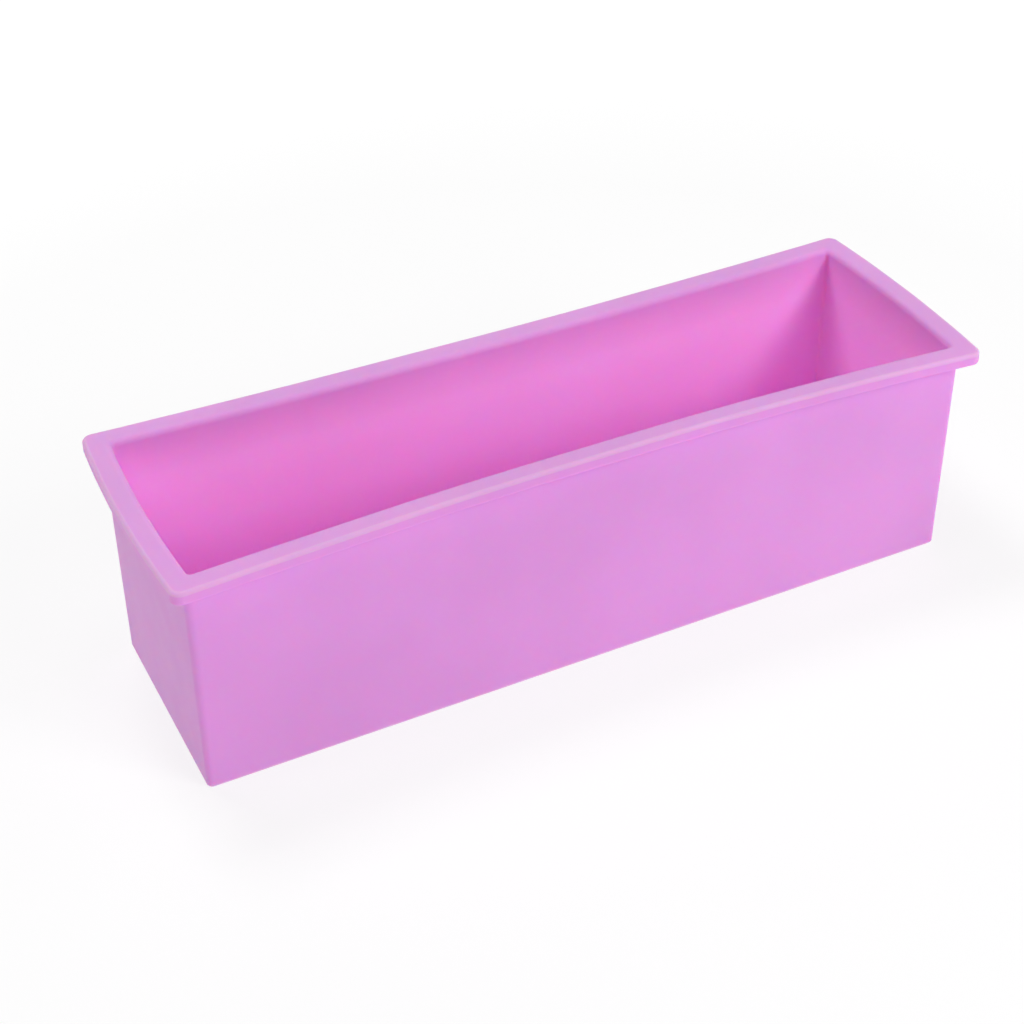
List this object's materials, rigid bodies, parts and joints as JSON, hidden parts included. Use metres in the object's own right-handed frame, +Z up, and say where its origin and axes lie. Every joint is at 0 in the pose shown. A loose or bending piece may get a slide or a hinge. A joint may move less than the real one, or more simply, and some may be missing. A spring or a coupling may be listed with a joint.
{
  "type": "soap loaf mould",
  "caption": "Flexible open-topped rectangular trough with upright walls and a flat flange round its rim, for casting a loaf of soap.",
  "frame": {"origin": "centre of the resting face, at the bottom of the mould", "axes": "+X along the length of the loaf, +Y across its width, +Z up towards the open rim"},
  "size_m": [0.28, 0.088, 0.081],
  "materials": {
    "mould_rubber": "matt moulded silicone, pink-lilac, slightly translucent"
  },
  "bodies": {
    "root": {"loaf_mould": "mould_rubber"}
  },
  "joints": []
}
